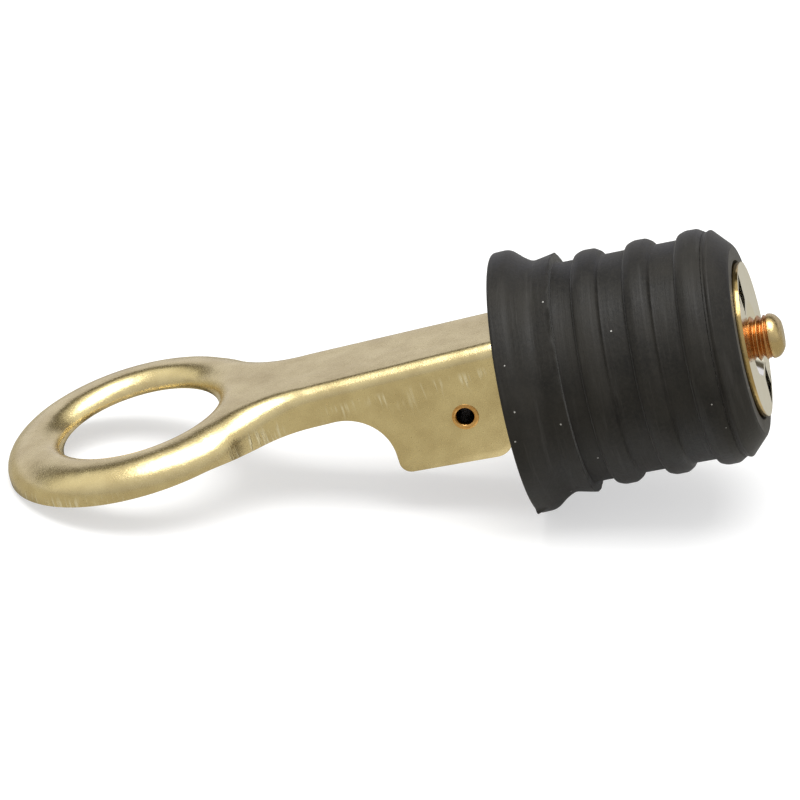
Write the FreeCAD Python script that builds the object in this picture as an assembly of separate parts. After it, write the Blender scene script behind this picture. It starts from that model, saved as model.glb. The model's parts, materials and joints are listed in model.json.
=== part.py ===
import FreeCAD, Part
import math
import os

from FreeCAD import Placement, Rotation, Vector

# Expanding drain plug for a boat's drain tube, with a drawn brass lever handle. Lengths are in millimetres.
# Each piece is modelled where it sits on the plug's own axis: x runs from the face of the rubber's large end
# towards its nose, y runs across, and the handle lies back along -x. At the end the whole plug is tipped nose
# up, until it rests on the rim of the rubber and the far edge of the ring, and its origin is set at the
# centre of its foot print.

# Rubber plug: outer shape, from the large end to the nose
rim_r = 14.1
rim_width = 1.5
rim_slope = 0.2
neck_r = 12.25
neck_x = 3.9
step_x = 6.45
step_r = 12.92
band_r = 11.88
rib_r = 12.7
rib_start_x = 8.65
rib_pitch = 5.6
rib_count = 3
rib_rise = 1.3
rib_land = 0.9
rib_back = 0.75
groove_width = 0.22
groove_r = 11.95
nose_edge_r = 12.3
nose_lip_r = 10.25
plug_length = 25.4
rest_flat = 0.18

# Stud: a cross-bored eye, a number 10 threaded shank with 32 threads to the inch, and a peened tip
thread_r = 2.41
thread_pitch = 25.4 / 32
tip_end_x = 29.0
tip_length = 1.5
tip_face_r = 1.5
tip_shoulder = 0.19
tip_shoulder_r = 2.06
tip_groove = 0.22
eye_r = 3.5
eye_bevel = 0.42
neck_collar_r = 3.1
neck_collar_length = 1.2

# Pivot: a tubular pin, flared flush into both ears, a little below the plug's axis
pivot_x = -5.45
pivot_drop = 0.4
pin_r = 1.2
pin_bore_r = 0.935
pin_flare_r = 1.46
pin_flare_depth = 0.32
pin_mouth_r = 1.12

# Handle: one drawn sheet, seen along its own back, with the pivot at its origin
sheet = 0.95
bend_r = 1.55
back_height = 7.2
arm_half_width = 5.2
arm_taper = 0.0175
ring_reach = 35.3
ring_r = 14.8
ring_hole_r = 8.95
ring_wall = 3.3
hole_wall = 1.8
blend_r = 10.0
arm_wall = 4.2
ring_wall_from = 30.0
arm_wall_from = 22.0
ear_bottom = 5.2
ear_end_x = 4.1
ear_end_round = 1.9
heel_x = -8.3
heel_round = 1.3
throat_r = 5.4
handle_droop = 3.05
swing_range = 90.0

# Washer under the ears
washer_r = 9.8
washer_thickness = 1.0
washer_bevel = 0.25
washer_lift = 1.2
ear_washer_gap = 0.12

# Nose plate: a stamped disc with a drawn, threaded collar and two bent prongs
plate_r = 8.35
plate_thickness = 0.9
plate_proud = 0.6
dish_r = 4.1
dish_bend = 0.54
collar_r = 3.45
collar_length = 2.6
window_inner_r = 4.75
window_outer_r = 7.9
window_inner_width = 2.5
window_outer_width = 4.0
prong_length = 3.3
prong_tip_width = 0.9
prong_thickness = 0.72
prong_shoulder = 0.24
prong_turn = 19.0
plate_inward = thread_pitch * 1.0

# Clearances
running = 0.05
seat = 0.02
eye_side_gap = 0.45
bore_gap = 0.35
recess_gap = 0.4
soft_gap = 0.08
slot_gap = 0.15
mouth_gap = 0.6
mouth_depth = 1.2
hole_trim_gap = 0.05

# How far cutting solids run past what they cut, and the least step clear of a face
overshoot = 1.0
hair = 0.01

X_AXIS = Vector(1, 0, 0)
Y_AXIS = Vector(0, 1, 0)
Z_AXIS = Vector(0, 0, 1)

# Reach of the ears' rounded corner from the pivot, less what the washer has moved by then
droop = math.radians(handle_droop)
corner_x = ear_end_x - ear_end_round
corner_drop = ear_bottom + corner_x * math.tan(droop) - ear_end_round / math.cos(droop)
corner_reach = math.hypot(corner_x, corner_drop)
corner_angle = math.atan2(corner_drop, corner_x) - droop
lift_rate = washer_lift / math.radians(swing_range)
widest_swing = corner_angle - math.asin(lift_rate / corner_reach)
ear_reach = corner_reach * math.cos(widest_swing - corner_angle) + ear_end_round - lift_rate * widest_swing

# Derived places on the plug's axis
pivot_z = -pivot_drop
washer_x = pivot_x + ear_reach + ear_washer_gap
recess_x = washer_x + washer_thickness + soft_gap
plate_face_x = plug_length + plate_proud
plate_back_x = plate_face_x - plate_thickness
pocket_x = plate_back_x - soft_gap
collar_end_x = plate_back_x - collar_length
pin_length = 2 * arm_half_width
eye_width = 2 * (arm_half_width - sheet - eye_side_gap)


def line(a, b):
    return Part.LineSegment(Vector(*a), Vector(*b)).toShape()


def polygon(points):
    """Closed flat face through a list of points."""
    corners = [Vector(*point) for point in points]
    return Part.Face(Part.makePolygon(corners + corners[:1]))


def turned(points):
    """Solid turned about the plug's axis from the corners of a closed profile."""
    corners = [Vector(x, 0, r) for x, r in points]
    profile = Part.Face(Part.makePolygon(corners + corners[:1]))
    return profile.revolve(Vector(0, 0, 0), X_AXIS, 360)


def rod(radius, x_from, x_to):
    return Part.makeCylinder(radius, x_to - x_from, Vector(x_from, 0, 0), X_AXIS)


def rod_across(radius, length, x, z):
    return Part.makeCylinder(radius, length, Vector(x, -length / 2, z), Y_AXIS)


def edges_at(solid, places, axis):
    """Edges of a prism that run along an axis through the given places."""
    found = []
    for place in places:
        target = Vector(*place)
        best = None
        for edge in solid.Edges:
            if edge.Curve.TypeId != "Part::GeomLine":
                continue
            along = edge.Vertexes[-1].Point - edge.Vertexes[0].Point
            if along.Length < 1e-6 or abs(along.normalize().dot(axis)) < 0.999:
                continue
            offset = edge.Vertexes[0].Point - target
            offset -= axis * offset.dot(axis)
            if best is None or offset.Length < best[0]:
                best = (offset.Length, edge)
        found.append(best[1])
    return found


def rib_profile(x):
    """Corners of one rib: a leaning rise, a narrow land at full size and a steeper back."""
    crest_x = x + rib_rise
    land_x = crest_x + rib_land
    return [(x, band_r), (crest_x, rib_r), (land_x, rib_r), (land_x + rib_back, band_r)]


def plug_outline():
    """Corners of the rubber's outer profile, from its front face to the lip of its nose."""
    corners = [
        (0, rim_r), (rim_width, rim_r - rim_slope), (neck_x, neck_r), (step_x, step_r), (step_x, band_r),
    ]
    for index in range(rib_count):
        corners += rib_profile(rib_start_x + index * rib_pitch)
    last_x = corners[-1][0]
    corners += [
        (last_x + groove_width, groove_r), (last_x + 2 * groove_width, nose_edge_r), (plug_length, nose_lip_r),
    ]
    return corners


def rubber_plug():
    body = turned([(0, 0)] + plug_outline() + [(plug_length, 0)])
    body = body.cut(rod(thread_r + bore_gap, -overshoot, plug_length + overshoot))
    body = body.cut(rod(washer_r + recess_gap, -overshoot, recess_x))
    body = body.cut(rod(plate_r + slot_gap, pocket_x, plug_length + overshoot))
    collar_hole_end = collar_end_x - plate_inward - soft_gap
    body = body.cut(rod(collar_r + bore_gap, collar_hole_end, plug_length))
    mouth_r = dish_r + plate_thickness
    mouth = turned([(plug_length, 0), (plug_length, mouth_r + mouth_gap),
                    (pocket_x - mouth_depth, collar_r + bore_gap), (pocket_x - mouth_depth, 0)])
    body = body.cut(mouth)
    for turn in (prong_turn, prong_turn + 180):
        body = body.cut(place_around(prong_slot(), turn))
    return body


def eye_stud():
    """Eye across the handle's channel, shank through the rubber, and a peened tip beyond the plate."""
    tip_x = tip_end_x - tip_length
    collar_x = pivot_x + eye_r
    shank = turned([
        (pivot_x, 0), (pivot_x, neck_collar_r), (collar_x, neck_collar_r),
        (collar_x + neck_collar_length, thread_r), (tip_x - tip_groove, thread_r), (tip_x, thread_r - tip_groove),
        (tip_x + tip_groove, thread_r), (tip_x + tip_length / 2, thread_r),
        (tip_end_x - tip_shoulder, tip_shoulder_r), (tip_end_x, tip_face_r), (tip_end_x, 0),
    ])
    eye = rod_across(eye_r, eye_width, pivot_x, pivot_z)
    rims = [edge for edge in eye.Edges if edge.Curve.TypeId == "Part::GeomCircle"]
    eye = eye.makeChamfer(eye_bevel, rims)
    bore = rod_across(pin_r + running, eye_width + 2 * overshoot, pivot_x, pivot_z)
    return shank.fuse(eye).cut(bore).removeSplitter()


def pivot_pin():
    """Tubular pin turned about its own axis, flared at both ends."""
    half = pin_length / 2
    points = [
        (-half, pin_flare_r), (-half + pin_flare_depth, pin_r), (half - pin_flare_depth, pin_r),
        (half, pin_flare_r), (half, pin_mouth_r), (half - pin_flare_depth, pin_bore_r),
        (-half + pin_flare_depth, pin_bore_r), (-half, pin_mouth_r),
    ]
    pin = turned(points)
    pin.Placement = Placement(Vector(pivot_x, 0, pivot_z), Rotation(Z_AXIS, 90))
    return pin


def washer():
    disc = rod(washer_r, washer_x, washer_x + washer_thickness)
    rims = [edge for edge in disc.Edges if edge.Curve.TypeId == "Part::GeomCircle"]
    disc = disc.makeChamfer(washer_bevel, rims)
    return disc.cut(rod(thread_r + bore_gap, washer_x - overshoot, washer_x + washer_thickness + overshoot))


def window_face(x, margin):
    """Opening of one prong in the plate, at the top, as a face across the axis."""
    inner = window_inner_width / 2 + margin
    outer = window_outer_width / 2 + margin
    return polygon([
        (x, -inner, window_inner_r - margin), (x, -outer, window_outer_r + margin),
        (x, outer, window_outer_r + margin), (x, inner, window_inner_r - margin),
    ])


def prong_face(margin, depth):
    """Outline of one bent prong in the x-z plane: wide at the plate and pointed in the rubber."""
    middle = (window_inner_r + window_outer_r) / 2
    root_half = (window_outer_r - window_inner_r) / 2 - prong_shoulder + margin
    tip_half = prong_tip_width / 2 + margin
    end_x = plate_back_x - depth
    return [
        (plate_face_x, middle - root_half), (plate_face_x, middle + root_half),
        (plate_back_x, middle + root_half), (end_x, middle + tip_half),
        (end_x, middle - tip_half), (plate_back_x, middle - root_half),
    ]


def prong_y():
    """Side of the window where the prong is bent, as the near and far y of its sheet."""
    near = -window_inner_width / 2 - (window_outer_width - window_inner_width) / 4
    return near, near + prong_thickness


def prong():
    near, far = prong_y()
    face = polygon([(x, near, z) for x, z in prong_face(0, prong_length)])
    return face.extrude(Vector(0, far - near, 0))


def prong_slot():
    near, far = prong_y()
    depth = prong_length + plate_inward + slot_gap
    face = polygon([(x, near - slot_gap, z) for x, z in prong_face(slot_gap, depth)])
    return face.extrude(Vector(0, far - near + 2 * slot_gap, 0))


def place_around(shape, degrees):
    turned_shape = shape.copy()
    turned_shape.rotate(Vector(0, 0, 0), X_AXIS, degrees)
    return turned_shape


def nose_plate():
    """Stamped plate: flat outside, dished into a drawn collar round the stud, with two prongs."""
    bore_r = thread_r + running
    dish_depth = collar_r - bore_r + plate_thickness
    disc = turned([
        (plate_back_x, plate_r), (plate_face_x, plate_r), (plate_face_x, dish_r),
        (plate_face_x - dish_depth, bore_r), (collar_end_x, bore_r), (collar_end_x, collar_r),
        (plate_back_x - dish_bend, collar_r), (plate_back_x, dish_r + dish_bend),
    ])
    for turn in (prong_turn, prong_turn + 180):
        window = window_face(plate_back_x - hair, 0).extrude(Vector(plate_thickness + 2 * hair, 0, 0))
        disc = disc.cut(place_around(window, turn))
        disc = disc.fuse(place_around(prong(), turn))
    return disc.removeSplitter()


def arm_side(inset):
    """Tangent points and middle of the blend between the arm's side and the ring, for one inset."""
    angle = math.atan(arm_taper)
    along = Vector(-math.cos(angle), math.sin(angle), 0)
    outward = Vector(math.sin(angle), math.cos(angle), 0)
    start = Vector(0, arm_half_width, 0) - outward * inset
    radius = blend_r + inset
    reach = ring_r - inset + radius
    centre_from_ring = start + outward * radius - Vector(-ring_reach, 0, 0)
    b = centre_from_ring.dot(along)
    c = centre_from_ring.dot(centre_from_ring) - reach * reach
    distance = -b - math.sqrt(b * b - c)
    on_arm = start + along * distance
    centre = on_arm + outward * radius
    from_ring = centre - Vector(-ring_reach, 0, 0)
    on_ring = Vector(-ring_reach, 0, 0) + from_ring * ((ring_r - inset) / from_ring.Length)
    towards_middle = (on_arm - centre) + (on_ring - centre)
    middle = centre + towards_middle * (radius / towards_middle.Length)
    at_end = start + along * (start.x - ear_end_x - inset)
    return at_end, on_arm, middle, on_ring


def mirrored(point):
    return Vector(point.x, -point.y, point.z)


def plan_solid(inset, z_from, z_to):
    """Handle seen from above, raised between two heights: a ring blended into a tapered arm."""
    end, on_arm, middle, on_ring = arm_side(inset)
    tip = Vector(-ring_reach - ring_r + inset, 0, 0)
    edges = [
        Part.LineSegment(mirrored(end), end).toShape(),
        Part.LineSegment(end, on_arm).toShape(),
        Part.Arc(on_arm, middle, on_ring).toShape(),
        Part.Arc(on_ring, tip, mirrored(on_ring)).toShape(),
        Part.Arc(mirrored(on_ring), mirrored(middle), mirrored(on_arm)).toShape(),
        Part.LineSegment(mirrored(on_arm), mirrored(end)).toShape(),
    ]
    face = Part.Face(Part.Wire(edges))
    face.translate(Vector(0, 0, z_from))
    hole_r = ring_hole_r + inset
    hole = Part.makeCylinder(hole_r, z_to - z_from + 2 * overshoot, Vector(-ring_reach, 0, z_from - overshoot))
    return face.extrude(Vector(0, 0, z_to - z_from)).cut(hole)


def top_edges(solid, top, end_x):
    """Every edge of the top face but the cut end of the arm."""
    chosen = []
    for edge in solid.Edges:
        box = edge.BoundBox
        in_top = box.ZMin > top - hair and box.ZMax < top + hair
        if in_top and box.XMin < end_x - hair:
            chosen.append(edge)
    return chosen


def side_solid():
    """Side view of the handle across its whole width: ears, heel, throat, arm wall and ring wall."""
    top = back_height + overshoot
    slope = math.tan(droop)
    far_x = -ring_reach - ring_r - overshoot
    arm_z = back_height - arm_wall
    ring_z = back_height - ring_wall
    end_corner = (ear_end_x, 0, -ear_bottom - slope * ear_end_x)
    heel_corner = (heel_x, 0, -ear_bottom - slope * heel_x)
    throat_corner = (heel_x, 0, arm_z)
    join_middle = -(arm_wall_from + ring_wall_from) / 2
    rise = Part.BezierCurve()
    rise.setPoles([Vector(-arm_wall_from, 0, arm_z), Vector(join_middle, 0, arm_z),
                   Vector(join_middle, 0, ring_z), Vector(-ring_wall_from, 0, ring_z)])
    edges = [
        line((far_x, 0, top), (ear_end_x, 0, top)),
        line((ear_end_x, 0, top), end_corner),
        line(end_corner, heel_corner),
        line(heel_corner, throat_corner),
        line(throat_corner, (-arm_wall_from, 0, arm_z)),
        rise.toShape(),
        line((-ring_wall_from, 0, ring_z), (far_x, 0, ring_z)),
        line((far_x, 0, ring_z), (far_x, 0, top)),
    ]
    half = ring_r + overshoot
    solid = Part.Face(Part.Wire(edges)).extrude(Vector(0, 2 * half, 0))
    solid.translate(Vector(0, -half, 0))
    for place, radius in ((end_corner, ear_end_round), (heel_corner, heel_round), (throat_corner, throat_r)):
        solid = solid.makeFillet(radius, edges_at(solid, [place], Y_AXIS))
    return solid


def handle():
    """Drawn handle: ring and arm are one channel, open below, with deep ears at the pivot."""
    depth_z = -ear_bottom - 2 * overshoot
    outer = plan_solid(0, depth_z, back_height)
    outer = outer.makeFillet(bend_r, top_edges(outer, back_height, ear_end_x))
    inner_top = back_height - sheet
    inner = plan_solid(sheet, depth_z - overshoot, inner_top)
    inner_bevel = (bend_r - sheet) * (2 - math.sqrt(2))
    inner = inner.makeChamfer(inner_bevel, top_edges(inner, inner_top, ear_end_x + sheet))
    shell = outer.cut(inner).common(side_solid())
    trim_from = depth_z - overshoot
    hole_trim = Part.makeCylinder(ring_hole_r + sheet + hole_trim_gap, back_height - hole_wall - trim_from,
                                  Vector(-ring_reach, 0, trim_from))
    shell = shell.cut(hole_trim)
    shell = shell.cut(rod_across(pin_r + seat, pin_length + 2 * overshoot, 0, 0))
    for side in (-1, 1):
        face = Vector(0, side * pin_length / 2, 0)
        sink = Part.makeCone(pin_flare_r + seat, pin_r + seat, pin_flare_depth, face, Vector(0, -side, 0))
        mouth = Part.makeCylinder(pin_flare_r + seat, overshoot, face, Vector(0, side, 0))
        shell = shell.cut(sink).cut(mouth)
    shell.rotate(Vector(0, 0, 0), Y_AXIS, -handle_droop)
    shell.translate(Vector(pivot_x, 0, pivot_z))
    return shell


def rest_tilt():
    """Angle, nose up, at which the far edge of the ring and the pressed rim touch one flat surface."""
    tip = Vector(-ring_reach - ring_r, 0, back_height - ring_wall)
    tip = Rotation(Y_AXIS, -handle_droop).multVec(tip) + Vector(pivot_x, 0, pivot_z)
    rim = Vector(0, 0, rest_flat - rim_r)
    across = rim - tip
    return math.degrees(math.atan2(-across.z, across.x)), tip


def resting_placement(shapes):
    """Tip the plug to its rest and set the origin at the bottom centre of its box."""
    tilt, tip = rest_tilt()
    turn = Placement(Vector(0, 0, 0), Rotation(Y_AXIS, -tilt))
    whole = Part.makeCompound([shape.copy() for shape in shapes])
    whole.transformShape(turn.toMatrix())
    box = whole.optimalBoundingBox(False, False)
    foot = turn.multVec(tip).z
    shift = Vector(-(box.XMin + box.XMax) / 2, 0, -foot)
    return Placement(shift, turn.Rotation)


def pressed_flat(shape):
    """Soft rubber, flattened a little where the plug's weight rests on its rim."""
    floor = Part.makeBox(4 * rim_r, 4 * rim_r, 2 * rim_r, Vector(-rim_r, -2 * rim_r, -2 * rim_r))
    return shape.cut(floor)


def build():
    pieces = {
        "handle": handle(),
        "pivot_pin": pivot_pin(),
        "eye_stud": eye_stud(),
        "washer": washer(),
        "rubber_plug": rubber_plug(),
        "nose_plate": nose_plate(),
    }
    place = resting_placement(list(pieces.values()))
    for shape in pieces.values():
        shape.transformShape(place.toMatrix())
    pieces["rubber_plug"] = pressed_flat(pieces["rubber_plug"])
    return pieces, place


pieces, place = build()
os.makedirs("parts", exist_ok=True)
for name, shape in pieces.items():
    shape.exportStep(os.path.join("parts", name + ".step"))
    box = shape.optimalBoundingBox(False, False)
    print(name, shape.isValid(), len(shape.Solids), round(shape.Volume, 2),
          [round(v, 2) for v in (box.XMin, box.XMax, box.YMin, box.YMax, box.ZMin, box.ZMax)])
print("tilt", round(rest_tilt()[0], 3), "shift", [round(v, 4) for v in place.Base])
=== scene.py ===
import json
import math

import bmesh
import bpy
import numpy as np
from mathutils import Matrix, Vector
from mathutils.geometry import delaunay_2d_cdt


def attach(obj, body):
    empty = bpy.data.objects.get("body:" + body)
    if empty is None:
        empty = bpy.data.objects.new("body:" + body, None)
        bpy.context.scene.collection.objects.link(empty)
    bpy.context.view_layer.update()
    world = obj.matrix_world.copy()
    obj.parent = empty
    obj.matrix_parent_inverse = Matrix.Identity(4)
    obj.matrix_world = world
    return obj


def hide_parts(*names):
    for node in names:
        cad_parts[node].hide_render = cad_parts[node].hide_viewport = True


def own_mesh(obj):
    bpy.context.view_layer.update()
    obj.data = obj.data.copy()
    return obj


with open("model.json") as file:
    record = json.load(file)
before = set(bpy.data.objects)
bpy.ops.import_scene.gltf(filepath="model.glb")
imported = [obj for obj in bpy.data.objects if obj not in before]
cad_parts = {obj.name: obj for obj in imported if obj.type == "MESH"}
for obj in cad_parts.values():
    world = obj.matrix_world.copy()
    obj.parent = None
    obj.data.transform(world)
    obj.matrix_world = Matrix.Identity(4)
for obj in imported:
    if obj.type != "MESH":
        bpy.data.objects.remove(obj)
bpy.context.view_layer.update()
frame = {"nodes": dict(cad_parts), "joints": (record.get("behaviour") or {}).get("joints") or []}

# The plug lies tipped nose up, on its rim and on the far edge of the ring. Everything below is drawn on the
# plug's own axis, as it is put together: x from the face of the rubber's large end to its nose, y across and z
# up, in millimetres. The axis and its start come from the joint that the stud turns in.
turning = [joint for joint in frame["joints"] if joint["name"] == "stud_turn"][0]
seat = np.array(turning["pos_m"], float)
axes = np.array([turning["axis"], [0, 1, 0], np.cross(turning["axis"], [0, 1, 0])], float)
nose_up = math.atan2(axes[0][2], axes[0][0])

# Rubber plug: one bung of black nitrile rubber, moulded round a core. It has a rim, a flare that stops it at
# the tube, a sharp line of flash where the flare's mould parted, and three ribs that seal against the tube.
core_r = 2.76
washer_seat_x, washer_seat_r = 1.55, 10.2
plate_pocket_x, plate_pocket_r = 24.15, 8.5  # 0.85 deeper than the plate, which is drawn in as it is tightened
collar_pocket_x = 20.3
rib_starts = 8.65, 14.25, 19.85
flash_x = 6.44
rim_lean, torn_tip, torn_at = 0.13, 0.42, 3.78

# the closed profile as corners of place along the axis, radius and rounding
rubber_corners = [
    (washer_seat_x, core_r, 0.1), (washer_seat_x, washer_seat_r, 0.2), (0, washer_seat_r, 0.12), (0, 13.95, 0.1),
    (0.2, 14.1, 0.1), (1.8, 14.1, 0.55), (3.2, 12.95, 0.6), (4.15, 12.5, 0.42), (5.4, 12.75, 0.6),
    (6.4, 12.96, 0.05), (6.5, 12.9, 0.03), (6.5, 11.95, 0.07), (7.4, 11.86, 0.3),
]
for start in rib_starts:
    rubber_corners += [
        (start, 11.88, 0.14), (start + 0.22, 12.42, 0.2), (start + 0.95, 12.7, 0.3), (start + 2.15, 12.68, 0.18),
        (start + 2.78, 12.3, 0.2), (start + 2.95, 11.95, 0.05), (start + 3.12, 11.86, 0.05),
    ]
# only a fine groove parts the last rib and the nose
rubber_corners[-2:] = [(22.8, 12.2, 0.08), (22.97, 12.1, 0.06)]
rubber_corners += [
    (23.2, 12.26, 0.06), (23.45, 12.32, 0.12), (25.3, 10.35, 0.25), (25.4, 10.1, 0.05), (25.42, 8.62, 0.08),
    (plate_pocket_x, plate_pocket_r, 0.06), (plate_pocket_x, 5.4, 0.2), (22.8, 3.85, 0.2),
    (collar_pocket_x, 3.8, 0.1), (collar_pocket_x, core_r, 0.1),
]


def lay(points):
    """Plug millimetres to metres where it lies: the axis's start plus x, y and z along its three directions."""
    return seat + np.asarray(points, float) @ axes / 1000


def mesh_object(name, points, faces):
    """An object from an array of points on the plug's axis and an array of faces, with its place in its mesh."""
    mesh = bpy.data.meshes.new(name)
    mesh.from_pydata(lay(points), [], faces)
    mesh.polygons.foreach_set("use_smooth", np.ones(len(mesh.polygons), bool))
    piece = bpy.data.objects.new(name, mesh)
    bpy.context.scene.collection.objects.link(piece)
    return piece


def grid_faces(rows, columns, closed_rows=False, closed_columns=False):
    """Quads of a grid of points numbered row by row, each joined to the next row and the next column."""
    i = np.arange(rows if closed_rows else rows - 1)[:, None]
    j = np.arange(columns if closed_columns else columns - 1)[None, :]
    next_i, next_j = (i + 1) % rows, (j + 1) % columns
    corners = i * columns + j, i * columns + next_j, next_i * columns + next_j, next_i * columns + j
    return np.stack(np.broadcast_arrays(*corners), -1).reshape(-1, 4)


def rounded(corners):
    """A profile of (x, r, rounding) corners: each is cut back by its rounding, and a parabola joins the cuts."""
    corners = np.array(corners, float)
    at, cut = corners[:, :2], corners[:, 2:]
    before = np.roll(at, 1, 0) - at
    after = np.roll(at, -1, 0) - at
    before /= np.linalg.norm(before, axis=1)[:, None]
    after /= np.linalg.norm(after, axis=1)[:, None]
    t = np.linspace(0, 1, 7)[None, :, None]
    start, end = (at + before * cut)[:, None], (at + after * cut)[:, None]
    return ((1 - t) ** 2 * start + 2 * t * (1 - t) * at[:, None] + t ** 2 * end).reshape(-1, 2)


def full_turn(count):
    """A row of even angles round a circle."""
    return np.linspace(0, 2 * np.pi, count, endpoint=False)[None, :]


def about_axis(x, r, angle):
    """Points turned about the plug's axis: x along it, y is r times sine and z is r times cosine of the turn."""
    return np.stack(np.broadcast_arrays(x, r * np.sin(angle), r * np.cos(angle)), -1).reshape(-1, 3)


def hand_trimmed(x, r, angle):
    """What moulding and trimming add to a radius. It is a sum of a slow swell, sines of 2 and 5 turns; a lean of
    the rim, cosine of the turn times a bell curve along x; a torn tip, a narrow bell curve at one angle of the
    large end; and ragged flash, sines of 7, 17 and 41 turns on the flare's last edge."""
    slow = 0.035 * np.sin(2 * angle + 0.6) + 0.02 * np.sin(5 * angle + x * 0.3)
    slow = slow + rim_lean * np.cos(angle) * np.exp(-((x - 2.2) / 1.2) ** 2)
    slow = slow + torn_tip * np.exp(-((angle - torn_at) / 0.035) ** 2 - (x / 0.5) ** 2)
    flash = np.exp(-((x - flash_x) / 0.1) ** 2) * (r > 12.7)
    ragged = 0.05 * np.sin(17 * angle) + 0.035 * np.sin(41 * angle + 1.2) + 0.03 * np.sin(7 * angle)
    return np.where(r > 11.5, slow * (1 - x / 30) - 0.06, 0) + flash * ragged


profile, angle = rounded(rubber_corners), full_turn(288)
x, r = profile[:, :1], profile[:, 1:]
rubber = mesh_object(
    "rubber_bung", about_axis(x, r + hand_trimmed(x, r, angle), angle), grid_faces(len(x), 288, True, True))
resting = np.empty(len(rubber.data.vertices) * 3)
rubber.data.vertices.foreach_get("co", resting)
resting[2::3] = np.maximum(resting[2::3], 0)  # the soft rim lies flat on the floor
rubber.data.vertices.foreach_set("co", resting)


def feed(tree, made, feeds):
    """Feeds a node's sockets from other sockets, or sets them to plain values; a plain colour is opaque."""
    for name, value in feeds.items():
        socket = made.inputs[name]
        if isinstance(value, bpy.types.NodeSocket):
            tree.links.new(value, socket)
        else:
            socket.default_value = (*value, 1) if socket.type == "RGBA" else value


def node(tree, kind, feeds=None, **settings):
    """Adds a shader node with its settings, and feeds its sockets."""
    made = tree.nodes.new("ShaderNode" + kind)
    for name, value in settings.items():
        setattr(made, name, value)
    feed(tree, made, feeds or {})
    return made


def calc(tree, way, *values):
    """One step of arithmetic on values or sockets."""
    return node(tree, "Math", dict(enumerate(values)), operation=way).outputs[0]


def faded(tree, value, start, end, low=0.0, high=1.0):
    """Takes a value's way from start to end in a straight line to low and high, and holds it at both."""
    limits = {"From Min": start, "From Max": end, "To Min": low, "To Max": high}
    return node(tree, "MapRange", {"Value": value, **limits}).outputs[0]


def noise(tree, vector, scale, detail, roughness=0.5):
    """Cloudy noise on a set of coordinates."""
    return node(tree, "TexNoise", {
        "Vector": vector, "Scale": scale, "Detail": detail, "Roughness": roughness}).outputs[0]


def mixed(tree, factor, a, b):
    """Mixes two colours by a factor."""
    return node(tree, "Mix", {0: factor, 6: a, 7: b}, data_type="RGBA").outputs[2]


def ramp(tree, factor, stops):
    """Turns a value into a colour along a list of (place, colour) stops."""
    made = node(tree, "ValToRGB", {0: factor})
    band = made.color_ramp.elements
    while len(band) < len(stops):
        band.new(1)
    for element, (place, colour) in zip(band, stops):
        element.position, element.color = place, (*colour, 1)
    return made.outputs[0]


def levelled(tree, centre, angle):
    """Object coordinates turned about y round a centre, so that x runs along a piece that lies tipped."""
    place = node(tree, "TexCoord").outputs["Object"]
    return node(tree, "VectorRotate", {
        "Vector": place, "Center": tuple(centre), "Angle": angle}, rotation_type="Y_AXIS").outputs[0]


def stretched(tree, vector, scale):
    """Coordinates scaled along x, y and z, which draws a pattern out where the scale is small."""
    return node(tree, "Mapping", {"Vector": vector, "Scale": scale}).outputs[0]


def new_material(name):
    """An empty material, its node tree and its Principled shader, wired to the output."""
    material = bpy.data.materials.new(name)
    material.use_nodes = True
    tree = material.node_tree
    return material, tree, tree.nodes["Principled BSDF"]


rubber_skin, tree, shader = new_material("moulded_black_rubber")
place = node(tree, "TexCoord").outputs["Object"]
along = levelled(tree, seat, nose_up)
rings = noise(tree, stretched(tree, along, (1.0, 0.04, 0.04)), 3200, 3, 0.6)
smears = noise(tree, stretched(tree, along, (1.0, 0.07, 0.07)), 1500, 4, 0.7)
pores = noise(tree, place, 2600, 4, 0.65)
clouds = noise(tree, place, 170, 4, 0.6)
specks = node(tree, "TexVoronoi", {"Vector": place, "Scale": 330, "Randomness": 1.0}).outputs["Distance"]
black = ramp(tree, clouds, [(0.36, (0.0055, 0.0048, 0.0036)), (0.66, (0.018, 0.016, 0.0125))])
black = mixed(tree, faded(tree, smears, 0.56, 0.76, 0, 0.4), black, (0.06, 0.057, 0.053))
black = mixed(tree, faded(tree, pores, 0.42, 0.66, 0, 0.5), black, (0.021, 0.0185, 0.0145))
dust = calc(tree, "LESS_THAN", specks, 0.032)
height = calc(tree, "ADD", calc(tree, "MULTIPLY", rings, 0.7), calc(tree, "MULTIPLY", pores, 0.5))
bump = node(tree, "Bump", {"Height": height, "Strength": 0.5, "Distance": 0.0001})
feed(tree, shader, {
    "Base Color": mixed(tree, dust, black, (0.42, 0.41, 0.39)),
    "Roughness": faded(tree, clouds, 0.3, 0.7, 0.48, 0.66),
    "Normal": bump.outputs[0],
    "IOR": 1.36, "Sheen Weight": 0.12, "Sheen Roughness": 0.35,
})

rubber.data.materials.append(rubber_skin)
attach(rubber, "bung")
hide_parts("rubber_plug")
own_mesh(rubber)

# Brass parts share one surface effect: a fine satin grain, cloudy tarnish and dark flecks in the grain, which
# change its colour, its gloss and its height. It is built once and placed in each brass with its own values.
skin = bpy.data.node_groups.new("worn_brass", "ShaderNodeTree")
for name, kind in (
    ("Vector", "Vector"), ("Clean", "Color"), ("Tarnished", "Color"), ("Tarnish", "Float"),
    ("Cloud Scale", "Float"), ("Grain Scale", "Float"), ("Gloss Low", "Float"), ("Gloss High", "Float"),
):
    skin.interface.new_socket(name, in_out="INPUT", socket_type="NodeSocket" + kind)
for name, kind in (("Color", "Color"), ("Roughness", "Float"), ("Height", "Float")):
    skin.interface.new_socket(name, in_out="OUTPUT", socket_type="NodeSocket" + kind)
inlet, outlet = skin.nodes.new("NodeGroupInput").outputs, skin.nodes.new("NodeGroupOutput")
clouds = noise(skin, inlet["Vector"], inlet["Cloud Scale"], 6, 0.62)
grain = noise(skin, inlet["Vector"], inlet["Grain Scale"], 4, 0.7)
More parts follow.
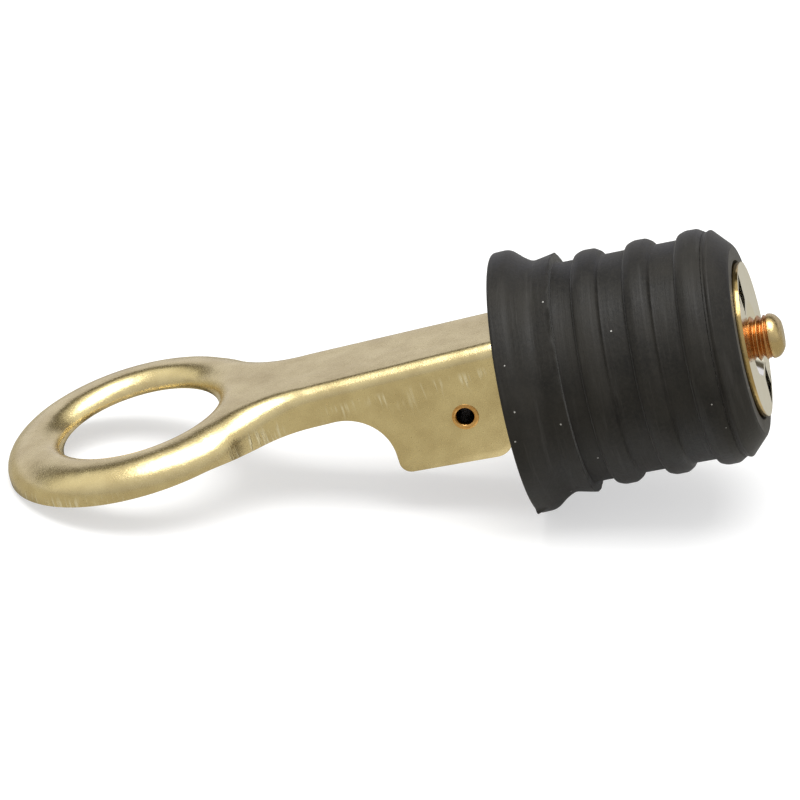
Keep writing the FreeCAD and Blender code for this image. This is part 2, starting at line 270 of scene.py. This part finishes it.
stained = calc(skin, "ADD", faded(skin, clouds, 0.38, 0.68), faded(skin, grain, 0.62, 0.78, 0, 0.5))
stained = calc(skin, "MULTIPLY", stained, inlet["Tarnish"])
feed(skin, outlet, {
    "Color": mixed(skin, stained, inlet["Clean"], inlet["Tarnished"]),
    "Roughness": faded(skin, grain, 0.3, 0.7, inlet["Gloss Low"], inlet["Gloss High"]),
    "Height": grain,
})


def brass(name, clean, tarnished, tarnish, cloud_scale, grain_scale, gloss, bump_height):
    """A brass: the shared skin with its own colours and gloss, and a bump from its grain."""
    material, tree, shader = new_material(name)
    worn = node(tree, "Group", {
        "Vector": node(tree, "TexCoord").outputs["Object"], "Clean": clean, "Tarnished": tarnished,
        "Tarnish": tarnish, "Cloud Scale": cloud_scale, "Grain Scale": grain_scale,
        "Gloss Low": gloss[0], "Gloss High": gloss[1],
    }, node_tree=skin)
    bump = node(tree, "Bump", {"Height": worn.outputs["Height"], "Strength": 0.5, "Distance": bump_height})
    feed(tree, shader, {
        "Base Color": worn.outputs["Color"], "Roughness": worn.outputs["Roughness"],
        "Normal": bump.outputs[0], "Metallic": 1.0,
    })
    return material, tree, shader, worn.outputs, bump


# Handle: one brass sheet, drawn into a channel that is open below. Its ring and arm are one stamping, with
# deep ears at the pivot, a bend along every top edge and a sheared edge below.
sheet = 0.95
droop = math.radians(3.05)
pivot_x, pivot_z = -5.45, -0.4
top = 7.2
half_width, taper = 5.2, 0.0175
ring_x, ring_r = -35.3, 14.8
hole_x, hole_r, lip_bend = -35.0, 8.7, 2.2
blend_r = 10.0
ear_end, ear_bottom, heel = 4.1, 5.2, -8.3
throat_r, heel_r, ear_r, ear_hole_r = 5.4, 1.3, 1.9, 1.24
arm_low, ring_low = top - 4.2, top - 3.3
rise_from, rise_to = 22, 30
arm_bend, blend_bend, ring_bend, ring_spread = 1.55, 1.6, 2.8, 3.55
end_lean, end_lean_length = 0.85, 3.5


def hang(points):
    """Points along the handle's own back to the plug's axis: turned by the droop about y, then to the pivot."""
    x, y, z = np.moveaxis(np.asarray(points, float), -1, 0)
    return np.stack([x * math.cos(droop) - z * math.sin(droop) + pivot_x, y,
                     x * math.sin(droop) + z * math.cos(droop) + pivot_z], -1)


def arc(centre, radius, first, last, count=14):
    """Points of an arc between two angles: the centre plus radius times cosine and sine."""
    sweep = np.linspace(first, last, count)[:, None]
    return centre + radius * np.hstack([np.cos(sweep), np.sin(sweep)])


def distances(points):
    """How far each point of a line of points is along it: the running sum of the steps between them."""
    return np.concatenate([[0], np.cumsum(np.linalg.norm(np.diff(points, axis=0), axis=1))])


def plan_outline():
    """Near side of the handle from above: a tapered arm, a hollow blend and half the ring, as dense points."""
    lean = math.atan(taper)
    forward = np.array([-math.cos(lean), math.sin(lean)])
    outward = np.array([math.sin(lean), math.cos(lean)])
    start, ring_centre = np.array([0, half_width]), np.array([ring_x, 0])
    offset = start + outward * blend_r - ring_centre
    b, c = offset @ forward, offset @ offset - (ring_r + blend_r) ** 2
    on_arm = start + forward * (-b - math.sqrt(b * b - c))
    centre = on_arm + outward * blend_r
    turn = math.atan2(*(centre - ring_centre)[::-1])
    first = math.atan2(*(on_arm - centre)[::-1])
    end = start + forward * -(ear_end / math.cos(lean))
    straight = end + (on_arm - end) * np.linspace(0, 1, 400)[:, None]
    hollow = arc(centre, blend_r, first, turn - math.pi, 200)[1:]
    round_ring = arc(ring_centre, ring_r, turn, math.pi, 500)[1:]
    return np.vstack([straight, hollow, round_ring]), len(straight) - 1, len(straight) + len(hollow) - 1


side, arm_end, ring_start = plan_outline()
whole = np.vstack([side * [1, -1], side[-2::-1]])
run = distances(whole)
length = run[-1]
way = np.gradient(whole, run, axis=0)
way /= np.linalg.norm(way, axis=1)[:, None]
outward = np.stack([-way[:, 1], way[:, 0]], 1)
arm_run, ring_run = run[arm_end], run[ring_start]


def on_plan(s, inset):
    """Plan points at run s along the outline, moved inwards by an inset: both are read off the dense outline."""
    at = np.stack([np.interp(s, run, whole[:, k]) for k in (0, 1)], -1)
    out = np.stack([np.interp(s, run, outward[:, k]) for k in (0, 1)], -1)
    return at - out * np.asarray(inset)[..., None]


def under(s):
    """Height of the ears' lower edge at run s, a straight line that is level with the plug, not the handle."""
    return -ear_bottom - math.tan(droop) * (ear_end - s)


# lower edge of one side, as run and height: ear corner, ear, heel, throat, arm, rise to the ring
ear_run = ear_end - heel
half_turn = math.pi / 2
rise = np.linspace(rise_from + ear_end, rise_to + ear_end, 24)
share = (rise - rise[0]) / (rise[-1] - rise[0])
edge = np.vstack([
    arc((ear_r, under(0) + ear_r), ear_r, math.pi, math.pi + half_turn),
    arc((ear_run - heel_r, under(ear_run) + heel_r), heel_r, -half_turn, 0),
    arc((ear_run + throat_r, arm_low - throat_r), throat_r, math.pi, half_turn, 26),
    np.stack([rise, arm_low + (ring_low - arm_low) * (3 * share ** 2 - 2 * share ** 3)], 1),
    [[length / 2, ring_low]],
])
steps = distances(edge)
reach = np.linspace(0, 1, 330)
low = np.stack([np.interp(reach * steps[-1], steps, edge[:, k]) for k in (0, 1)], 1)
low = np.vstack([low, np.stack([length - low[-2::-1, 0], low[-2::-1, 1]], 1)])
high = np.interp(reach, [0, 0.42, 1], [0, 0.34 * length / 2, length / 2])
high = np.concatenate([high, length - high[-2::-1]])

# walls from the lower edge up, then the bend over to the back, which grows from the arm to the ring
where = [0, arm_run, ring_run + 3]
bend_at = np.interp(np.minimum(high, length - high), where, [arm_bend, blend_bend, ring_bend])
spread = np.interp(np.minimum(high, length - high), where, [arm_bend, blend_bend, ring_spread])
wall = np.linspace(0, 1, 14)[:, None]
wall_s = low[:, 0] + (high - low[:, 0]) * wall
wall_z = low[:, 1] + (top - bend_at - low[:, 1]) * wall
turn = np.linspace(0, half_turn, 11)[1:, None]
inset = np.vstack([np.zeros_like(wall_s), spread * (1 - np.cos(turn))])
run_at = np.vstack([wall_s, np.broadcast_to(high, (len(turn), len(high)))])
z = np.vstack([wall_z, top - bend_at + bend_at * np.sin(turn)])
drawn_sheet = np.concatenate([on_plan(run_at, inset), z[..., None]], -1)
from_end = np.minimum(run_at, length - run_at)
upright = np.clip((z + ear_bottom) / (top + ear_bottom), 0, 1)
drawn_sheet[..., 0] += end_lean * upright * np.clip(1 - from_end / end_lean_length, 0, 1)
sheet_faces = grid_faces(*drawn_sheet.shape[:2])
sheet_points = drawn_sheet.reshape(-1, 3)

# the lip of the hole, turned down inside the ring
around = full_turn(160)
turn = np.linspace(0, math.radians(85), 12)[:, None]
lip_r = hole_r + lip_bend - lip_bend * np.sin(turn)
lip_z = top - lip_bend + lip_bend * np.cos(turn)
lip_points = np.stack(np.broadcast_arrays(
    hole_x + lip_r * np.cos(around), lip_r * np.sin(around), lip_z), -1).reshape(-1, 3)
lip_faces = grid_faces(len(turn), around.size, False, True) + len(sheet_points)

# the flat back between all the bends, filled with triangles over a lattice whose points keep clear of the bends
rim_loop, hole_loop = drawn_sheet[-1, :, :2], lip_points[:around.size, :2]
cell = 1.1
lattice = np.stack(np.meshgrid(np.arange(-48.5, 4.4, cell), np.arange(-13.2, 13.3, cell)), -1).reshape(-1, 2)
nearest = np.linalg.norm(lattice[:, None] - np.vstack([rim_loop, hole_loop])[None], axis=2).min(1)
flat = np.vstack([rim_loop, hole_loop, lattice[nearest > 0.5]])
count_rim, count_hole = len(rim_loop), len(hole_loop)
ring_edges = [(i, (i + 1) % count_rim) for i in range(count_rim)]
hole_edges = [(count_rim + i, count_rim + (i + 1) % count_hole) for i in range(count_hole)]
filled = delaunay_2d_cdt([Vector(p) for p in flat], ring_edges + hole_edges, [], 1, 1e-6)
back_points = np.array([(*p, top) for p in filled[0]])
back_faces = np.array(filled[2])
middle = back_points[back_faces].mean(1)
outside_hole = np.hypot(middle[:, 0] - hole_x, middle[:, 1]) > hole_r + lip_bend - 0.02
back_faces = back_faces[outside_hole] + len(sheet_points) + len(lip_points)

handle = mesh_object("drawn_handle", hang(np.vstack([sheet_points, lip_points, back_points])),
                     sheet_faces.tolist() + lip_faces.tolist() + back_faces.tolist())
shell = bmesh.new()
shell.from_mesh(handle.data)
bmesh.ops.remove_doubles(shell, verts=shell.verts, dist=2e-6)
bmesh.ops.recalc_face_normals(shell, faces=shell.faces)  # all one way, which the back's topmost face then sets
back = max(shell.faces, key=lambda face: face.calc_center_median().z + face.normal.z * 0.001)
if back.normal.z < 0:
    bmesh.ops.reverse_faces(shell, faces=shell.faces)
shell.to_mesh(handle.data)
shell.free()

# the sheet gets its thickness inwards, its edges are eased, and the ears are drilled for the pin
pivot = lay([[pivot_x, 0, pivot_z]])[0]
drill_mesh, hole = bpy.data.meshes.new("pivot_drill"), bmesh.new()
bmesh.ops.create_cone(hole, cap_ends=True, segments=64, radius1=ear_hole_r / 1000, radius2=ear_hole_r / 1000,
                      depth=0.03, matrix=Matrix.Translation(pivot) @ Matrix.Rotation(half_turn, 4, "X"))
hole.to_mesh(drill_mesh)
hole.free()
drill = bpy.data.objects.new("pivot_drill", drill_mesh)
bpy.context.scene.collection.objects.link(drill)
thicken = handle.modifiers.new("sheet", "SOLIDIFY")
thicken.thickness, thicken.offset, thicken.use_even_offset = sheet / 1000, -1, True
ease = handle.modifiers.new("sheared_edge", "BEVEL")
ease.width, ease.segments, ease.limit_method, ease.angle_limit = 0.00009, 2, "ANGLE", math.radians(50)
pierce = handle.modifiers.new("pivot_hole", "BOOLEAN")
pierce.operation, pierce.solver, pierce.object = "DIFFERENCE", "EXACT", drill
graph = bpy.context.evaluated_depsgraph_get()
formed = bpy.data.meshes.new_from_object(handle.evaluated_get(graph))
handle.modifiers.clear()
handle.data = formed
formed.set_sharp_from_angle(angle=math.radians(40))
bpy.data.objects.remove(drill)

handle_brass, tree, shader, worn, bump = brass(
    "satin_pressed_brass", (0.80, 0.66, 0.35), (0.46, 0.34, 0.15), 0.45, 260, 5200, (0.18, 0.30), 0.00003)
place = node(tree, "TexCoord").outputs["Object"]
uneven = node(tree, "Bump", {"Height": noise(tree, place, 240, 2), "Strength": 0.6, "Distance": 0.00016})

# the die has drawn short upright strokes on the walls, just below the bend
level = levelled(tree, pivot, nose_up + droop)
height = node(tree, "SeparateXYZ", {0: level}).outputs[2]
below_bend = faded(tree, height, pivot[2] + 0.0052, pivot[2] + 0.0044)
above_edge = faded(tree, height, pivot[2] + 0.0012, pivot[2] + 0.0034)
lines = faded(tree, noise(tree, stretched(tree, level, (1, 1, 0.1)), 2400, 2), 0.53, 0.62)
zones = faded(tree, noise(tree, place, 130, 1), 0.40, 0.50)
strokes = calc(tree, "MULTIPLY", lines, zones)
strokes = calc(tree, "MULTIPLY", strokes, calc(tree, "MULTIPLY", below_bend, above_edge))
bright = calc(tree, "MULTIPLY", strokes, 0.8)
raised = calc(tree, "ADD", worn["Height"], calc(tree, "MULTIPLY", strokes, 1.5))
feed(tree, shader, {"Base Color": mixed(tree, bright, worn["Color"], (1.0, 0.9, 0.62))})
feed(tree, bump, {"Height": raised, "Normal": uneven.outputs[0]})
handle.data.materials.clear()
handle.data.materials.append(handle_brass)
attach(handle, "lever")
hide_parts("handle")

# Pivot pin: a tubular rivet of brass that holds the handle to the stud. It is pushed through the ears and the
# stud's eye, and both its ends are flared over the ears.
pin_profile = rounded([
    (-5.16, 1.0, 0.08), (-5.27, 1.25, 0.1), (-5.2, 1.5, 0.05), (-4.9, 1.2, 0.1), (4.9, 1.2, 0.1), (5.2, 1.5, 0.05),
    (5.27, 1.25, 0.1), (5.16, 1.0, 0.08), (4.7, 0.86, 0.1), (-4.7, 0.86, 0.1),
])


def about_pivot(profile, angle):
    """Points turned about the pivot: y is the place across, x is r times cosine and z r times sine of the turn."""
    across, r = profile[:, :1], profile[:, 1:]
    x, z = pivot_x + r * np.cos(angle), pivot_z + r * np.sin(angle)
    return np.stack(np.broadcast_arrays(x, across, z), -1).reshape(-1, 3)


def point_values(piece, name, values):
    """Keeps one value for each point of a mesh under a name, for its material to read."""
    piece.data.attributes.new(name, "FLOAT", "POINT").data.foreach_set("value", values)


around, bore_r = 72, 0.95
pin_faces = grid_faces(len(pin_profile), around, True, True)
pin = mesh_object("tubular_pin", about_pivot(pin_profile, full_turn(around)), pin_faces)
point_values(pin, "bore", np.repeat((pin_profile[:, 1] < bore_r).astype(float), around))
pin_brass, tree, shader, worn, _ = brass(
    "orange_rivet_brass", (0.80, 0.46, 0.15), (0.34, 0.14, 0.03), 0.6, 900, 6000, (0.2, 0.32), 0.00002)
# painted shade: the points inside the bore are painted near-black, standing in for the shade deep in the tube
painted_bore_shade = node(tree, "Attribute", attribute_name="bore").outputs["Fac"]
feed(tree, shader, {"Base Color": mixed(tree, painted_bore_shade, worn["Color"], (0.045, 0.03, 0.018))})
pin.data.materials.append(pin_brass)
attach(pin, "lever")
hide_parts("pivot_pin")

# Bearing washer: a ring blanked from brass sheet. It lies under the ears, bedded in the rubber's large end,
# and spreads their push over the rubber.
washer_brass = brass(
    "washer_brass", (0.80, 0.66, 0.36), (0.45, 0.32, 0.14), 0.5, 300, 4200, (0.26, 0.4), 0.00003)[0]
washer = frame["nodes"]["washer"]
washer.data.materials.clear()
washer.data.materials.append(washer_brass)

# Stud: a brass screw with a cross-bored eye between the ears. Its rolled number 10 thread runs through the
# nose plate, and its end is peened over so that the plate can't come off.
thread_r, thread_depth, pitch = 2.41, 0.42, 25.4 / 32
screw_x, tip_x, end_x = 19.2, 27.5, 29.0
neck_r, around = 3.1, 96

# Its radius along x and round the turn: the thread is a clipped triangle wave of one pitch a turn, cut in over
# 0.8 mm and out over 0.25 mm. A groove, a bell curve, parts it from the peened end, which shrinks by a power of
# its length, and the other end swells in a straight line to the neck of the eye.
x = np.concatenate([np.linspace(-2.2, 19, 8), np.linspace(screw_x, end_x, 250)])[:, None]
angle = full_turn(around)
phase = (x / pitch - angle / (2 * np.pi)) % 1
ridge = np.clip(np.abs(phase - 0.5) * 2 * 1.25 - 0.12, 0, 1)
cut = np.clip((x - screw_x) / 0.8, 0, 1) * np.clip((tip_x - 0.1 - x) / 0.25, 0, 1)
r = thread_r - thread_depth * ridge * cut
tip = np.clip((x - tip_x) / (end_x - tip_x), 0, 1)
r = r - 0.2 * np.exp(-((x - tip_x) / 0.12) ** 2) - 0.95 * tip ** 3.2
r = r + (neck_r - thread_r) * np.clip((-0.6 - x) / 1.3, 0, 1)
points = about_axis(x, r, angle)
screw_faces = grid_faces(len(x), around, False, True).tolist()
ends = [list(range(around))[::-1], list(range((len(x) - 1) * around, len(x) * around))]
eye_profile = rounded([
    (-3.8, 3.08, 0.1), (-3.38, 3.5, 0.12), (3.38, 3.5, 0.12), (3.8, 3.08, 0.1), (3.8, 1.25, 0.06),
    (-3.8, 1.25, 0.06),
])
eye_points = about_pivot(eye_profile, angle)
eye_faces = (grid_faces(len(eye_profile), around, True, True) + len(points)).tolist()
stud = mesh_object("threaded_stud", np.vstack([points, eye_points]), screw_faces + ends + eye_faces)
stud.data.set_sharp_from_angle(angle=math.radians(50))
hammered = np.repeat(np.clip((x[:, 0] - tip_x + 0.05) / 0.5, 0, 1), around)
point_values(stud, "peened", np.concatenate([hammered, np.zeros(len(eye_points))]))
stud_brass, tree, shader, worn, _ = brass(
    "turned_stud_brass", (0.62, 0.33, 0.12), (0.28, 0.10, 0.03), 0.6, 420, 5200, (0.2, 0.32), 0.00003)
dulled = node(tree, "Attribute", attribute_name="peened").outputs["Fac"]
feed(tree, shader, {"Base Color": mixed(tree, dulled, worn["Color"], (0.58, 0.44, 0.21))})
stud.data.materials.append(stud_brass)
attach(stud, "stud")
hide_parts("eye_stud")

# Nose plate: a disc stamped from bright brass, dished to a threaded collar, with two prongs bent into the
# rubber so that it can't turn. Its sheared rim, past 8.3 mm from the axis, is darker and more golden.
sheared_from = 0.0083
plate = frame["nodes"]["nose_plate"]
plate_brass, tree, shader, worn, _ = brass(
    "bright_stamped_brass", (0.98, 0.94, 0.82), (0.82, 0.72, 0.50), 0.25, 350, 4200, (0.06, 0.14), 0.00001)
place = node(tree, "TexCoord").outputs["Object"]
from_seat = node(tree, "VectorMath", {0: place, 1: tuple(seat)}, operation="SUBTRACT").outputs[0]
forward = node(tree, "VectorMath", {0: from_seat, 1: tuple(axes[0])}, operation="DOT_PRODUCT").outputs["Value"]
reach = node(tree, "VectorMath", {0: from_seat}, operation="LENGTH").outputs["Value"]
squares = [calc(tree, "MULTIPLY", value, value) for value in (reach, forward)]
radius = calc(tree, "SQRT", calc(tree, "SUBTRACT", *squares))
sheared = calc(tree, "GREATER_THAN", radius, sheared_from)
feed(tree, shader, {"Base Color": mixed(tree, sheared, worn["Color"], (0.50, 0.36, 0.15))})
plate.data.materials.clear()
plate.data.materials.append(plate_brass)

# Studio: a plain pale floor that runs out of sight, soft light from above, and a long lens at the
# photograph's angle, set from the plug's own axis. The floor is bright to the camera, and lights the plug from
# below only near it.
floor_mesh = bpy.data.meshes.new("studio_floor")
floor_mesh.from_pydata([(-4, -4, 0), (4, -4, 0), (4, 4, 0), (-4, 4, 0)], [], [(0, 1, 2, 3)])
floor = bpy.data.objects.new("studio_floor", floor_mesh)
bpy.context.scene.collection.objects.link(floor)
floor_paint, tree, shader = new_material("pale_floor")
seen = node(tree, "LightPath").outputs["Is Camera Ray"]
place = node(tree, "TexCoord").outputs["Object"]
away = node(tree, "VectorMath", {0: place, 1: (0.026, -0.004, 0)}, operation="DISTANCE").outputs["Value"]
# painted light and shade: to all rays but the camera's, the floor is painted pale within 12 to 24 mm of the plug,
# a painted pool of bounce light, and darker grey farther out, a painted shade that the brass reflects
painted_bounce_and_shade = mixed(tree, faded(tree, away, 0.012, 0.024), (0.9, 0.9, 0.9), (0.35, 0.335, 0.29))
feed(tree, shader, {
    "Base Color": mixed(tree, seen, painted_bounce_and_shade, (0.5, 0.5, 0.5)),
    "Emission Color": (1, 1, 1), "Emission Strength": calc(tree, "MULTIPLY", seen, 0.55),
    "Roughness": 0.8, "Specular IOR Level": 0.1,
})
floor_mesh.materials.append(floor_paint)

# the room's light by its angle, from 0 at the far wall over the ceiling to 1 behind the lens: a pale far wall,
# a dark band above it, a bright ceiling and a wall behind the lens that fades
world = bpy.data.worlds.new("studio")
bpy.context.scene.world = world
world.use_nodes = True
tree = world.node_tree
sky = node(tree, "SeparateXYZ", {0: node(tree, "TexCoord").outputs["Generated"]})
tilt = calc(tree, "DIVIDE", calc(tree, "ARCTAN2", sky.outputs[2], sky.outputs[1]), math.pi)
room = ramp(tree, tilt, [
    (0.0, (0.76, 0.77, 0.88)), (0.16, (0.745, 0.755, 0.87)), (0.19, (0.09, 0.08, 0.06)),
    (0.28, (0.10, 0.09, 0.07)), (0.33, (0.88, 0.88, 0.84)), (0.52, (0.95, 0.95, 0.91)),
    (0.72, (0.78, 0.78, 0.77)), (1.0, (0.5, 0.5, 0.51)),
])
feed(tree, tree.nodes["Background"], {"Color": room, "Strength": 1.0})

lamp = bpy.data.lights.new("softbox", "AREA")
lamp.shape, lamp.size, lamp.size_y, lamp.energy = "RECTANGLE", 0.9, 0.7, 9
softbox = bpy.data.objects.new("softbox", lamp)
softbox.location = (0.1, -0.15, 0.9)
softbox.rotation_euler = (math.radians(-8), 0, 0)
bpy.context.scene.collection.objects.link(softbox)
bpy.context.scene.view_settings.view_transform = "Standard"

# the lens looks at the plug after its axis is turned by a yaw, a pitch and a roll, in millimetres and radians
yaw, pitch_down, roll = -0.18035155, 0.41734942, -0.25846078
distance, shift_x, shift_z, pixels_per_mm = 1200.0, 12.48041, 1.78945, 9.38948
frame_pixels, sensor_width = 800, 36
view = np.array(Matrix.Rotation(roll, 3, "Y") @ Matrix.Rotation(pitch_down, 3, "X") @ Matrix.Rotation(yaw, 3, "Z"))
station = lay([view.T @ [-shift_x, -distance, -shift_z]])[0]
right, ahead, upward = view @ axes
lens = bpy.data.cameras.new("long_lens")
lens.sensor_width = sensor_width
lens.lens = distance * pixels_per_mm / frame_pixels * sensor_width
lens.clip_start, lens.clip_end = 0.05, 20
camera = bpy.data.objects.new("long_lens", lens)
camera.matrix_world = Matrix(np.vstack([np.stack([right, upward, -ahead, station], 1), [0, 0, 0, 1]]).tolist())
bpy.context.scene.collection.objects.link(camera)
bpy.context.scene.camera = camera

bpy.context.view_layer.update()
